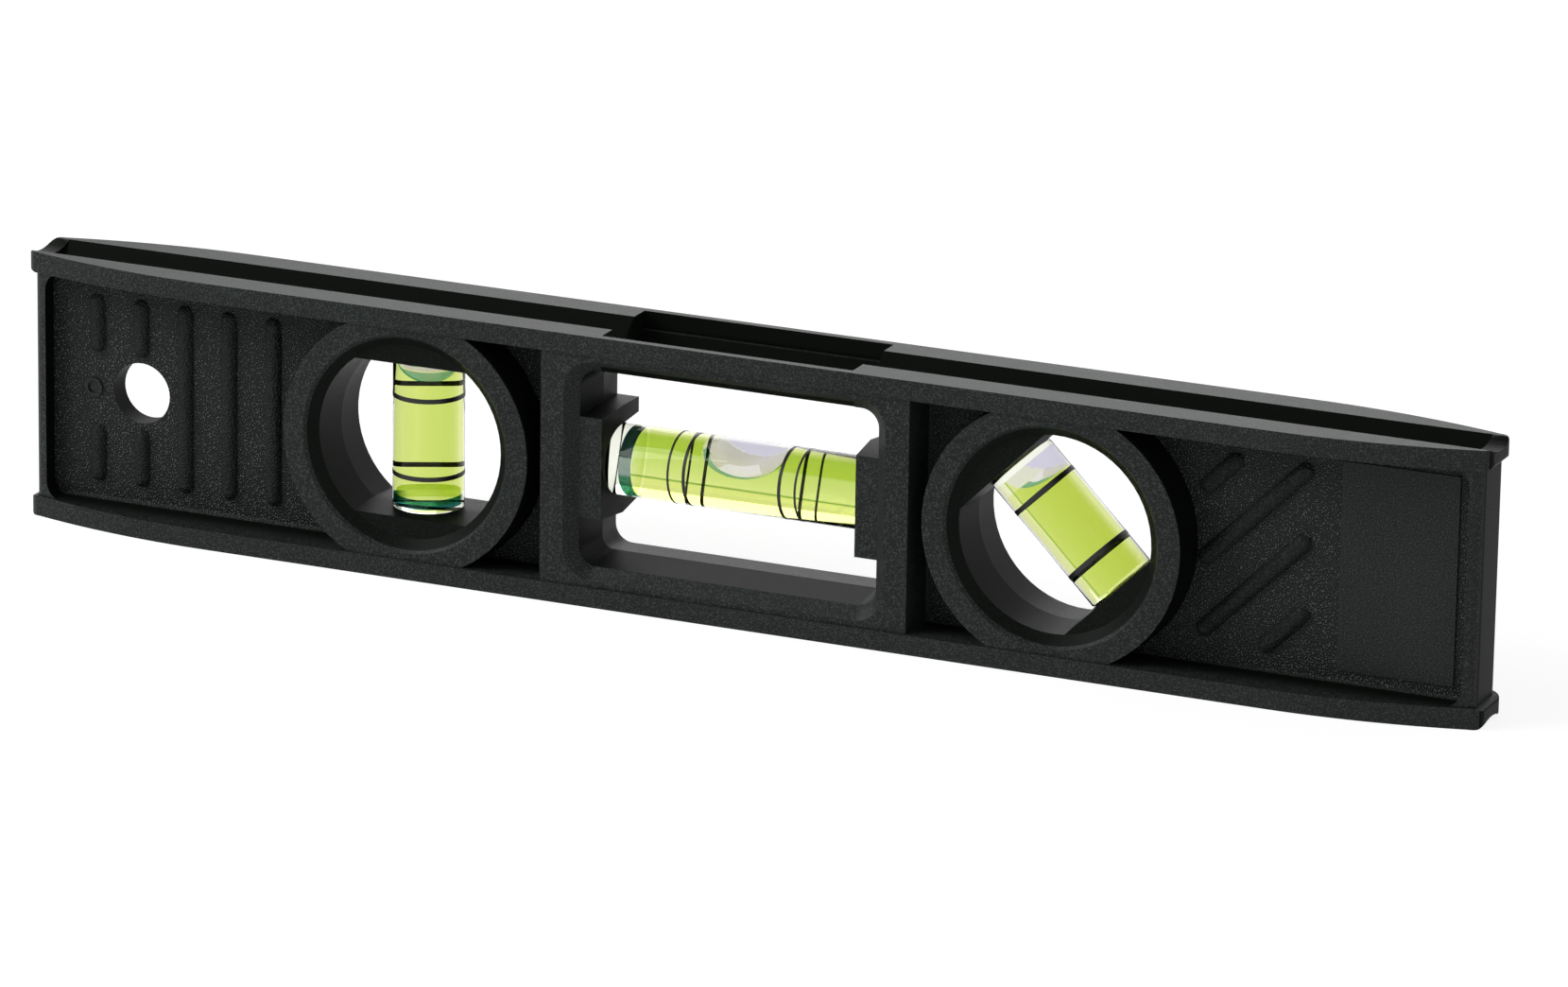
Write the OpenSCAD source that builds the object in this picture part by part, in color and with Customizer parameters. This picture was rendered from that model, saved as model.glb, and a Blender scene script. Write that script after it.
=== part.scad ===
// Pocket spirit level, torpedo shape, with level, plumb and 45 degree vials.
// Millimetres. X runs along the level, the read face looks to -Y, Z is up.
// Origin is at the bottom centre of the body.

/* [Body] */
// Length over the rail tips
body_length = 203; // [196:1:240]
// Height between the two working edges
body_height = 36.1; // [35.6:0.1:40]
// Depth over the rails at mid length
body_depth = 15.3; // [15:0.1:18]
// Thickness of a rail at its outer edge
rail_edge = 2.6; // [2.2:0.1:2.8]
// Thickness of the web behind the grained panels
web = 3.2; // [2.4:0.1:4]
// How far the frame, rings and end walls sit behind the rail faces
setback = 0.35; // [0.2:0.05:0.6]
// Length of each curved rail end, from its tip
taper_length = 27.5; // [23.5:0.5:31.5]
// Radius of the curved rail ends in plan
taper_radius = 95; // [85:1:120]
// Rounding of the rail tips in plan
tip_round = 1.6; // [1:0.1:2]
// How far the rail tips stand past the end walls
tip_overhang = 0.9; // [0.5:0.05:1.6]
// Thickness of the end walls
end_wall = 1.75; // [1.2:0.05:2.5]

/* [Groove and top slot] */
// Half width of the V groove at the working edge
groove_half = 3.4; // [2.5:0.1:4]
// Slope of the groove walls
groove_slope = 36; // [25:1:42]
// Length of the closed tip past the groove
groove_stop = 2.4; // [1.8:0.1:3.5]
// Length of the widened pocket over the level vial
pocket_length = 34.8; // [28:0.2:35.6]
// Lip left on each side of the pocket
pocket_lip = 1.1; // [0.8:0.1:2]
// Depth of the pocket step
pocket_depth = 2.35; // [1.5:0.05:2.6]
// Ledge at the foot of the pocket, beside the reading slot
pocket_ledge = 0.75; // [0.5:0.05:1.5]

/* [Window] */
// Half length of the frame around the window
frame_half = 25.55; // [24.6:0.05:26.6]
// Half length of the window at mid depth
window_half_x = 20.05; // [20:0.05:20.6]
// Half height of the window at mid depth
window_half_z = 12.35; // [12:0.05:12.6]
// Corner radius of the window at mid depth
window_corner = 1.75; // [1.2:0.05:2.5]
// Draft of the window walls, as widening from mid depth to the mouth
window_draft = 0.7; // [0.4:0.05:0.9]
// Width of the chamfer at the mouths of window and bores
mouth_chamfer = 1.6; // [1:0.1:1.7]
// Half length between the vial seats at mid depth
seat_half_x = 17.2; // [16.8:0.1:17.4]
// Half height of the vial seats at mid depth
seat_half_z = 7.2; // [6.6:0.1:8]

/* [Bosses] */
// Distance of the ring centres from mid length
boss_offset = 44.9; // [44.4:0.1:46]
// Outer radius of the rings
boss_radius = 17.45; // [17:0.05:17.9]
// Bore radius at mid depth
bore_radius = 12.65; // [12.4:0.05:12.9]
// Draft of the bores, as widening from mid depth to the mouth
bore_draft = 0.35; // [0.2:0.05:0.6]
// Distance of the vial lands from the ring centre
land_distance = 9.95; // [9.7:0.05:10.2]

/* [Panels] */
// Distance of the hang hole from the rail tips
hang_inset = 15.6; // [14.5:0.1:17.5]
// Diameter of the hang hole
hang_diameter = 8.2; // [6:0.1:9]
// Distance between the upright grip ribs
rib_pitch = 6.43; // [6:0.01:6.6]
// Width of a grip rib
rib_width = 2.35; // [1.8:0.05:2.8]
// Height of a grip rib above the panel
rib_height = 0.85; // [0.5:0.05:1]
// Distance between the slanted grip ribs, square to them
slant_pitch = 6.6; // [6:0.05:7.5]
// Length of the bare plate
plate_length = 15.5; // [10:0.5:16]
// Strip of grain left between the bare plate and the end wall
plate_margin = 1.9; // [1.5:0.1:3]
// Height of the bare plate above the grain
plate_height = 0.2; // [0.1:0.05:0.5]

/* [Vials] */
// Outer diameter of the vial tubes
vial_diameter = 9.4; // [8.6:0.1:9.8]
// Wall of the vial tubes
vial_wall = 1.15; // [0.9:0.05:1.4]
// Length of the level vial
level_length = 37; // [36:0.2:38]
// Full width part of the plug in the level vial
level_seal = 2.35; // [1.8:0.05:3]
// Full width part of the plugs in the two short vials
short_seal = 0.85; // [0.7:0.05:1.5]
// Length of the narrower nose of each plug, which stands in the liquid
plug_nose = 1.7; // [1.2:0.05:2.2]
// Gap between the nose of a plug and the tube
nose_gap = 0.3; // [0.15:0.05:0.5]
// Thickness of the moulded end of the level vial's tube
level_end = 1.7; // [1.3:0.1:3.5]
// Thickness of the moulded end of the short vials' tubes
short_end = 0.9; // [0.7:0.05:1.5]
// Gap between a vial and its seat
seat_gap = 0.05; // [0.02:0.01:0.15]
// Distance of the inner rings of the level vial from its middle
ring_inner = 6.65; // [6:0.05:7]
// Distance of the outer rings of the level vial from its middle
ring_outer = 8.85; // [8.2:0.05:10]
// Distance of the rings of the short vials from their middle
ring_short = 5.25; // [4.6:0.05:5.5]
// Depth of the ring grooves in the tubes
ring_inlay = 0.14; // [0.1:0.01:0.2]
// Length of the air bubble in the level vial
bubble_length = 12; // [10:0.2:12.6]
// Depth of the air bubble in the level vial
bubble_depth = 3.4; // [1.6:0.1:4]
// How far the air in the 45 degree vial reaches down from its upper plug
bubble_drop = 3.3; // [2.2:0.1:3.6]

/* [Hidden] */
$fn = 96;
half_l = body_length / 2;
taper_start = half_l - taper_length;
hang_offset = half_l - hang_inset;
half_d = body_depth / 2;
mid_z = body_height / 2;
rail_root = rail_edge + 0.3;
fillet = 0.45;
face_y = half_d - setback;
seat_y = face_y - 1.58;
wall_x = half_l - tip_overhang;
groove_x = half_l - groove_stop;
groove_depth = groove_half * tan(groove_slope);
pocket_half = pocket_length / 2;
slot_half = half_d - pocket_lip - pocket_ledge;
win_cx = window_half_x - window_corner;
win_cz = window_half_z - window_corner;
bore_mid = bore_radius + bore_draft;
bore_mouth = bore_mid + mouth_chamfer;
land_face = land_distance + bore_draft;
land_flat = 1;
over = 1;
rib_round = (pow(rib_width / 2, 2) + pow(rib_height, 2)) / (2 * rib_height);
rib_sink = rib_round - rib_height;
rib_reach = 12.8;
rib_start = 4.85;
rib_top = rib_reach - rib_width / 2;
rib_split = rib_start + rib_width / 2;
rib_first = hang_offset + rib_pitch;
ring_edge = boss_offset + boss_radius;
slant_rise = 3.55;
ring_clear = 1.45;
plate_clear = 3.65;
plate_x = wall_x - end_wall - plate_margin - plate_length / 2;
mark_round = 1.3;
mark_rim = 0.5;
mark_shift = 0.6;
vial_r = vial_diameter / 2;
bore_r = vial_r - vial_wall;
level_half = level_length / 2;
seat_slot_r = vial_r + seat_gap;
slot_clear = 1.1;
wide_ring = 0.62;
inner_ring = 0.42;
outer_ring = 0.28;
ring_proud = 0.02;
top_bubble_r = 3.7;
top_bubble_lift = 1.7;
bubble_round = 8.2;
bubble_lean = 3.1;

function rail_y(x) = half_d - (abs(x) <= taper_start ? 0 :
    taper_radius - sqrt(pow(taper_radius, 2) - pow(abs(x) - taper_start, 2)));

// Plan outline pulled in by "inset", ending at x = end, one quarter as points
function quarter(inset, end, r) = let (
        n = 12,
        x1 = end - r,
        yc = rail_y(x1) - inset - r)
    concat(
        [for (i = [0:n]) let (x = taper_start + (x1 - taper_start) * i / n)
            [x, rail_y(x) - inset]],
        [for (i = [1:6]) [x1 + r * sin(15 * i), yc + r * cos(15 * i)]]);

function turned(p) = [for (i = [len(p) - 1:-1:0]) p[i]];

function outline(inset, end, r) = let (q = quarter(inset, end, r))
    concat(
        q,
        [for (p = turned(q)) [p[0], -p[1]]],
        [for (p = q) [-p[0], -p[1]]],
        [for (p = turned(q)) [-p[0], p[1]]]);

module along_x(h) {
    rotate([90, 0, 90]) linear_extrude(height = h, center = true) children();
}

module along_y(h) {
    rotate([90, 0, 0]) linear_extrude(height = h, center = true) children();
}

// Solid of revolution about Y with radius r0 at mid depth and r1 at y = +-h
module double_cone_y(r0, r1, h) {
    rotate([-90, 0, 0]) cylinder(r1 = r0, r2 = r1, h = h);
    rotate([90, 0, 0]) cylinder(r1 = r0, r2 = r1, h = h);
}

// Mouth chamfer of a bore or window corner, from y = seat_y to past the face
module mouth_y(r, side) {
    slope = mouth_chamfer / (face_y - seat_y);
    rotate([-90 * side, 0, 0]) translate([0, 0, seat_y])
        cylinder(r1 = r, r2 = r + slope * (half_d + over - seat_y),
            h = half_d + over - seat_y);
}

// Rails, web and V grooves: one section along X, trimmed to the plan outline
module section_2d() {
    web_y = web / 2;
    q = [[half_d, 0], [half_d, rail_edge], [web_y + fillet, rail_root],
        [web_y, rail_root + fillet]];
    up = [for (p = q) p];
    polygon(concat(
        up,
        [for (p = turned(q)) [p[0], body_height - p[1]]],
        [for (p = q) [-p[0], body_height - p[1]]],
        [for (p = turned(q)) [-p[0], p[1]]]));
}

// Side view of the rail tips, rounded off at the end of each rail
module side_2d() {
    corner = 0.7;
    under = 0.5;
    q = concat(
        [for (a = [0:15:90]) [half_l - corner + corner * sin(a), corner - corner * cos(a)]],
        [[half_l, rail_edge - under], [half_l - under / 3, rail_edge - under / 3],
            [half_l - under, rail_edge], [wall_x - under, rail_root - fillet / 10],
            [wall_x - under, mid_z]]);
    polygon(concat(
        q,
        [for (p = turned(q)) [p[0], body_height - p[1]]],
        [for (p = q) [-p[0], body_height - p[1]]],
        [for (p = turned(q)) [-p[0], p[1]]]));
}

module rails() {
    intersection() {
        linear_extrude(height = body_height)
            polygon(outline(0, half_l, tip_round));
        along_y(body_depth + over) side_2d();
        along_x(body_length + over) section_2d();
    }
}

module end_walls() {
    z0 = rail_edge / 2;
    corner = 2.4;
    intersection() {
        translate([0, 0, z0]) linear_extrude(height = body_height - 2 * z0)
            polygon(outline(setback, wall_x, 1.4));
        difference() {
            translate([-wall_x, -half_d, 0])
                cube([2 * wall_x, body_depth, body_height]);
            panel_end(wall_x - end_wall - corner, mid_z - rail_root - corner + 0.3,
                corner, body_depth);
        }
    }
}

// Plain rounded opening through the whole depth, used for the panel ends
module panel_end(cx, cz, r, depth) {
    translate([0, 0, mid_z]) {
        for (sx = [-1, 1], sz = [-1, 1])
            translate([sx * cx, 0, sz * cz]) rotate([90, 0, 0])
                cylinder(r = r, h = depth + over, center = true);
        cube([2 * cx, depth + over, 2 * (cz + r)], center = true);
        cube([2 * (cx + r), depth + over, 2 * cz], center = true);
    }
}

module frame_block() {
    w = frame_half + 0.4;
    translate([0, 0, rail_edge / 2])
        linear_extrude(height = body_height - rail_edge)
            polygon([[-frame_half, -face_y], [frame_half, -face_y],
                [w, 0], [frame_half, face_y], [-frame_half, face_y], [-w, 0]]);
}

module ring_block(x) {
    translate([x, 0, mid_z])
        double_cone_y(boss_radius + 0.3, boss_radius, face_y);
}

// Window: drafted walls with rounded corners and a chamfer at both mouths
module window_cavity() {
    r0 = window_corner;
    r1 = window_corner + window_draft;
    slope = mouth_chamfer / (face_y - seat_y);
    ye = half_d + over;
    re = r1 + slope * (ye - seat_y);
    prof = [[r0, 0], [r1, seat_y], [re, ye]];
    translate([0, 0, mid_z]) {
        linear_extrude(height = 2 * win_cz, center = true)
            polygon([[-win_cx - re, -ye], [win_cx + re, -ye],
                [win_cx + r1, -seat_y], [win_cx + r0, 0], [win_cx + r1, seat_y],
                [win_cx + re, ye], [-win_cx - re, ye], [-win_cx - r1, seat_y],
                [-win_cx - r0, 0], [-win_cx - r1, -seat_y]]);
        along_x(2 * win_cx)
            polygon([[-ye, -win_cz - re], [-seat_y, -win_cz - r1],
                [0, -win_cz - r0], [seat_y, -win_cz - r1], [ye, -win_cz - re],
                [ye, win_cz + re], [seat_y, win_cz + r1], [0, win_cz + r0],
                [-seat_y, win_cz + r1], [-ye, win_cz + re]]);
        for (sx = [-1, 1], sz = [-1, 1]) translate([sx * win_cx, 0, sz * win_cz]) {
            double_cone_y(r0, r1, seat_y);
            mouth_y(r1, 1);
            mouth_y(r1, -1);
        }
    }
}

// Seat block of the level vial on one side, drafted from mid depth
module seat_block(sx) {
    d = 0.47;
    x1 = window_half_x + 1.5;
    intersection() {
        translate([0, 0, mid_z]) linear_extrude(height = 4 * seat_half_z, center = true)
            polygon([[sx * seat_half_x, 0], [sx * (seat_half_x + d), seat_y],
                [sx * x1, seat_y], [sx * x1, -seat_y],
                [sx * (seat_half_x + d), -seat_y]]);
        translate([sx * (seat_half_x + x1) / 2, 0, mid_z])
            along_x(x1 - seat_half_x + 2)
                polygon([[-seat_y, -seat_half_z + d], [0, -seat_half_z],
                    [seat_y, -seat_half_z + d], [seat_y, seat_half_z - d],
                    [0, seat_half_z], [-seat_y, seat_half_z - d]]);
    }
}

// Bore of a ring: drafted, with two lands left for the ends of a short vial
module bore_cavity(x, turn) {
    translate([x, 0, mid_z]) {
        mouth_y(bore_mid, 1);
        mouth_y(bore_mid, -1);
        intersection() {
            double_cone_y(bore_radius, bore_mid, seat_y);
            rotate([0, turn, 0]) along_x(4 * bore_radius)
                polygon([[-seat_y - over, -land_face - bore_draft / 4],
                    [-seat_y, -land_face], [-land_flat, -land_distance],
                    [land_flat, -land_distance], [seat_y, -land_face],
                    [seat_y + over, -land_face - bore_draft / 4],
                    [seat_y + over, land_face + bore_draft / 4],
                    [seat_y, land_face], [land_flat, land_distance],
                    [-land_flat, land_distance], [-seat_y, land_face],
                    [-seat_y - over, land_face + bore_draft / 4]]);
        }
    }
}

// Cradle in the seats, open and longer at the back, where the vial is put in
module vial_slot(sx) {
    x0 = seat_half_x - 1;
    h = level_half - x0;
    translate([sx * (x0 + level_half) / 2, 0, mid_z]) {
        rotate([0, 90, 0]) cylinder(r = seat_slot_r, h = h, center = true);
        translate([-h / 2 - (sx < 0 ? slot_clear : 0), 0, -seat_slot_r])
            cube([h + slot_clear, seat_y + over, 2 * seat_slot_r]);
    }
}

module v_groove(z, up) {
    h = over * up;
    translate([0, 0, z]) along_x(2 * groove_x)
        polygon([[-groove_half, h], [-groove_half, 0],
            [-0.3, -up * (groove_depth - 0.15)], [0.3, -up * (groove_depth - 0.15)],
            [groove_half, 0], [groove_half, h]]);
}

// Shallow dip across the closed tips, following the groove
module tip_dip(z, up) {
    dip = 0.8;
    r = (pow(groove_half, 2) + dip * dip) / (2 * dip);
    for (sx = [-1, 1])
        translate([sx * (groove_x + groove_stop / 2), 0, z + up * (r - dip)])
            rotate([0, 90, 0])
                cylinder(r = r, h = groove_stop + 2 * over, center = true, $fn = 192);
}

// Half round rib with round ends between two points of a panel
module rib(x0, z0, x1, z1, side) {
    y = side * (web / 2 - rib_sink);
    len = sqrt(pow(x1 - x0, 2) + pow(z1 - z0, 2));
    translate([x0, y, z0]) {
        sphere(r = rib_round, $fn = 32);
        rotate([0, atan2(x1 - x0, z1 - z0), 0])
            cylinder(r = rib_round, h = len, $fn = 32);
    }
    translate([x1, y, z1]) sphere(r = rib_round, $fn = 32);
}

// Upright ribs beside the hang hole, the nearest two stopping short of it
module upright_ribs(side) {
    for (x = [-rib_first:rib_pitch:-ring_edge - rib_width])
        if (abs(x + hang_offset) < rib_pitch + rib_width && x < rib_width - hang_offset) {
            rib(x, mid_z + rib_split, x, mid_z + rib_top, side);
            rib(x, mid_z - rib_top, x, mid_z - rib_split, side);
        } else {
            rib(x, mid_z - rib_top, x, mid_z + rib_top, side);
        }
}

// Ribs at 45 degrees, each cut off by the ring, the plate and the two rails
module slanted_ribs(side) {
    x0 = ring_edge + ring_clear;
    x1 = plate_x - plate_length / 2 - rib_width / 2 - plate_clear;
    for (k = [0:floor((x1 - x0 + 2 * rib_top) / (slant_pitch * sqrt(2)))]) {
        c = x0 - rib_top + slant_rise + k * slant_pitch * sqrt(2);
        xa = max(x0, c - rib_top);
        xb = min(x1, c + rib_top);
        if (xb - xa > rib_width)
            rib(xa, mid_z + xa - c, xb, mid_z + xb - c, side);
    }
}

// Smooth plate with nothing on it
module bare_plate(side) {
    translate([plate_x, side * web / 2, mid_z])
        cube([plate_length, 2 * plate_height, 2 * rib_top + rib_width + 1.6], center = true);
}

// Round mark that an ejector pin leaves between the two split ribs
module ejector_mark(side) {
    translate([-rib_first - mark_shift, side * web / 2, mid_z]) rotate([90, 0, 0])
        difference() {
            cylinder(r = mark_round, h = mark_rim, center = true);
            cylinder(r = mark_round - mark_rim, h = mark_rim + over, center = true);
        }
}

module panel_relief(side) {
    upright_ribs(side);
    slanted_ribs(side);
    bare_plate(side);
    ejector_mark(side);
}

module body() {
    color("#24272b") difference() {
        union() {
            rails();
            end_walls();
            frame_block();
            ring_block(-boss_offset);
            ring_block(boss_offset);
            panel_relief(-1);
            panel_relief(1);
        }
        difference() {
            window_cavity();
            seat_block(-1);
            seat_block(1);
        }
        vial_slot(-1);
        vial_slot(1);
        bore_cavity(-boss_offset, 0);
        bore_cavity(boss_offset, -45);
        v_groove(body_height, 1);
        v_groove(0, -1);
        tip_dip(body_height, 1);
        tip_dip(0, -1);
        translate([-pocket_half, -half_d + pocket_lip, body_height - pocket_depth])
            cube([pocket_length, body_depth - 2 * pocket_lip, pocket_depth + over]);
        translate([-pocket_half, -slot_half, mid_z + window_half_z - 0.5])
            cube([pocket_length, 2 * slot_half, mid_z]);
        translate([-hang_offset, 0, mid_z]) rotate([90, 0, 0])
            cylinder(d = hang_diameter, h = body_depth, center = true);
    }
}

// Tube along Z, moulded shut at its +Z end, with ring grooves at the given places
module tube(half, end, places, widths) {
    difference() {
        cylinder(r = vial_r, h = 2 * half, center = true);
        translate([0, 0, -half - over])
            cylinder(r = bore_r, h = 2 * half + over - end);
        for (i = [0:len(places) - 1])
            ring_shape(places[i], widths[i], vial_r + over);
    }
}

module ring_shape(z, width, r_out) {
    translate([0, 0, z]) difference() {
        cylinder(r = r_out, h = width, center = true);
        cylinder(r = vial_r - ring_inlay, h = width + over, center = true);
    }
}

module ring(z, width) {
    color("#101214") ring_shape(z, width, vial_r + ring_proud);
}

// Plug in the open end: a full width seal and a narrower nose
module plug_shape(half, seal) {
    translate([0, 0, -half]) {
        cylinder(r = bore_r, h = seal);
        cylinder(r = bore_r - nose_gap, h = seal + plug_nose);
    }
}

module plug(half, seal) {
    color("#dfe8ea", 0.35) plug_shape(half, seal);
}

// Liquid that fills the tube round the plug's nose
module filling(half, seal, end) {
    difference() {
        translate([0, 0, -half + seal]) cylinder(r = bore_r, h = 2 * half - seal - end);
        plug_shape(half, seal);
    }
}

// Placement of the three vials, each drawn along Z about its own middle, plug at -Z
module at_level() {
    translate([0, 0, mid_z]) rotate([0, 90, 0]) children();
}

module at_plumb() {
    translate([-boss_offset, 0, mid_z]) children();
}

module at_angle() {
    translate([boss_offset, 0, mid_z]) rotate([0, 135, 0]) children();
}

level_places = [-ring_outer, -ring_inner, ring_inner, ring_outer];
level_widths = [outer_ring, inner_ring, inner_ring, outer_ring];
short_places = [-ring_short, ring_short];
short_widths = [wide_ring, wide_ring];

module level_tube() {
    color("#dfe8ea", 0.35) at_level() tube(level_half, level_end, level_places, level_widths);
}

module level_plug() {
    at_level() plug(level_half, level_seal);
}

module level_liquid() {
    rb = (pow(bubble_length / 2, 2) + pow(bubble_depth, 2)) / (2 * bubble_depth);
    color("#c6e04a", 0.6) difference() {
        at_level() filling(level_half, level_seal, level_end);
        translate([0, 0, mid_z + bore_r - bubble_depth + rb]) rotate([90, 0, 0])
            cylinder(r = rb, h = 4 * bore_r, center = true, $fn = 192);
    }
}

module level_ring_1() at_level() ring(level_places[0], level_widths[0]);
module level_ring_2() at_level() ring(level_places[1], level_widths[1]);
module level_ring_3() at_level() ring(level_places[2], level_widths[2]);
module level_ring_4() at_level() ring(level_places[3], level_widths[3]);

module plumb_tube() {
    color("#dfe8ea", 0.35) at_plumb()
        tube(land_distance, short_end, short_places, short_widths);
}

module plumb_plug() {
    at_plumb() plug(land_distance, short_seal);
}

module plumb_liquid() {
    color("#c6e04a", 0.6) at_plumb() difference() {
        filling(land_distance, short_seal, short_end);
        translate([0, 0, land_distance - short_end + top_bubble_lift])
            sphere(r = top_bubble_r);
    }
}

module plumb_ring_1() at_plumb() ring(short_places[0], wide_ring);
module plumb_ring_2() at_plumb() ring(short_places[1], wide_ring);

module angle_tube() {
    color("#dfe8ea", 0.35) at_angle()
        tube(land_distance, short_end, short_places, short_widths);
}

module angle_plug() {
    at_angle() plug(land_distance, short_seal);
}

module angle_liquid() {
    z = -land_distance + short_seal + bubble_drop - bubble_round;
    color("#c6e04a", 0.6) at_angle() difference() {
        filling(land_distance, short_seal, short_end);
        translate([-bubble_lean, 0, z]) rotate([90, 0, 0])
            cylinder(r = bubble_round, h = 4 * bore_r, center = true);
    }
}

module angle_ring_1() at_angle() ring(short_places[0], wide_ring);
module angle_ring_2() at_angle() ring(short_places[1], wide_ring);

body();
level_tube();
level_plug();
level_liquid();
level_ring_1();
level_ring_2();
level_ring_3();
level_ring_4();
plumb_tube();
plumb_plug();
plumb_liquid();
plumb_ring_1();
plumb_ring_2();
angle_tube();
angle_plug();
angle_liquid();
angle_ring_1();
angle_ring_2();
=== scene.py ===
"""Looks of a pocket spirit level: a black moulded body and three liquid vials.

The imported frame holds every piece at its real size. This script gives the body
rounded edges and a grained plastic finish, and builds the vials as clear tubes
with a plug, a coloured liquid, an air bubble and printed rings.
"""

import logging
import math
from dataclasses import dataclass
from enum import Enum, IntEnum
from typing import Any

import bmesh
import bpy
from mathutils import Matrix, Vector


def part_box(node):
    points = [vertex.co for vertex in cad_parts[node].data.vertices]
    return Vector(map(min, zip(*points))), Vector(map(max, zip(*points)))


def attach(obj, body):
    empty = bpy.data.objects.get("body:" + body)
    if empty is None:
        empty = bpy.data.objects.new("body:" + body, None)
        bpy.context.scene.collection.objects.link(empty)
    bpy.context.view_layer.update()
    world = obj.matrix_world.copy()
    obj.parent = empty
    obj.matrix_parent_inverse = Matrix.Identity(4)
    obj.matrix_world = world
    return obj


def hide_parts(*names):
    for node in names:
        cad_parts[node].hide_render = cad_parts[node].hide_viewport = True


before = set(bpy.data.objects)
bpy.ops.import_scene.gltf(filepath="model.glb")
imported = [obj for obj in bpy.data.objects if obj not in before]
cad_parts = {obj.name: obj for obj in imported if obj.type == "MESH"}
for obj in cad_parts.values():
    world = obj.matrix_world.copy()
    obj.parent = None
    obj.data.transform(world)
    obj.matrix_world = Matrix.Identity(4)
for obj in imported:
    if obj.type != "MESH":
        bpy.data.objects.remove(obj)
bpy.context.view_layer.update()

LOG = logging.getLogger("spirit_level")
MM = 0.001
BODY = "root"
UNDER_AIR = "under_air"
MENISCUS_FACE = 0.5
MENISCUS_RIM = 1.0
TOUCH = 0.01 * MM

Bands = tuple[tuple[float, str], ...]


def linear_colour(code: str) -> tuple[float, float, float, float]:
    """Turn an sRGB hex code into a linear colour.

    Args:
        code: Six hex digits with a leading hash, such as "#1d2021".

    Returns:
        Red, green, blue and an alpha of one, in linear light.
    """
    parts = [int(code[i:i + 2], 16) / 255 for i in (1, 3, 5)]
    lin = [c / 12.92 if c <= 0.04045 else ((c + 0.055) / 1.055) ** 2.4 for c in parts]
    return lin[0], lin[1], lin[2], 1.0


def per_mm(size_mm: float) -> float:
    """Texture scale, in cycles per metre, of a pattern whose cells are size_mm wide."""
    return 1.0 / (size_mm * MM)


def add_node(tree: bpy.types.NodeTree, kind: str, settings: dict[str, Any] | None = None,
             stops: Bands = (), **inputs: Any) -> bpy.types.Node:
    """Add a shader node with its settings, values and links.

    Args:
        tree: The node tree that gets the node.
        kind: Blender's name of the node type.
        settings: Attributes to set on the node itself.
        stops: Where each colour of a ramp stands, and its hex code.
        **inputs: Values or output sockets by input name, with underscores for
            spaces, or by index as i0, i1 and so on.

    Returns:
        The new node.
    """
    node = tree.nodes.new(kind)
    for key, value in (settings or {}).items():
        setattr(node, key, value)
    if stops:
        elements = node.color_ramp.elements
        while len(elements) < len(stops):
            elements.new(1.0)
        for element, (position, code) in zip(elements, stops):
            element.position, element.color = position, linear_colour(code)
    for key, value in inputs.items():
        by_index = key[0] == "i" and key[1:].isdigit()
        socket = node.inputs[int(key[1:])] if by_index else node.inputs[key.replace("_", " ")]
        if isinstance(value, bpy.types.NodeSocket):
            tree.links.new(value, socket)
        else:
            socket.default_value = value
    return node


def new_material(name: str) -> tuple[bpy.types.Material, bpy.types.NodeTree]:
    """Make an empty node material.

    Args:
        name: The material's name.

    Returns:
        The material and its node tree.
    """
    material = bpy.data.materials.new(name)
    material.use_nodes = True
    material.node_tree.nodes.clear()
    return material, material.node_tree


def share_across(tree: bpy.types.NodeTree, coord: bpy.types.Node, centre: Vector,
                 across: Vector, reach: float) -> bpy.types.NodeSocket:
    """Place of a point across a vial, from zero at one side to one at the other.

    Args:
        tree: The node tree that gets the nodes.
        coord: Its texture coordinates.
        centre: The vial's middle.
        across: Unit vector square to the vial's axis.
        reach: Distance from the middle at which the share is one.

    Returns:
        The share.
    """
    from_axis = add_node(tree, "ShaderNodeVectorMath", {"operation": "SUBTRACT"},
                         i0=coord.outputs["Object"], i1=centre)
    side = add_node(tree, "ShaderNodeVectorMath", {"operation": "DOT_PRODUCT"},
                    i0=from_axis.outputs[0], i1=across)
    share = add_node(tree, "ShaderNodeMapRange", i0=side.outputs["Value"], i1=-reach, i2=reach)
    return share.outputs[0]


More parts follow.
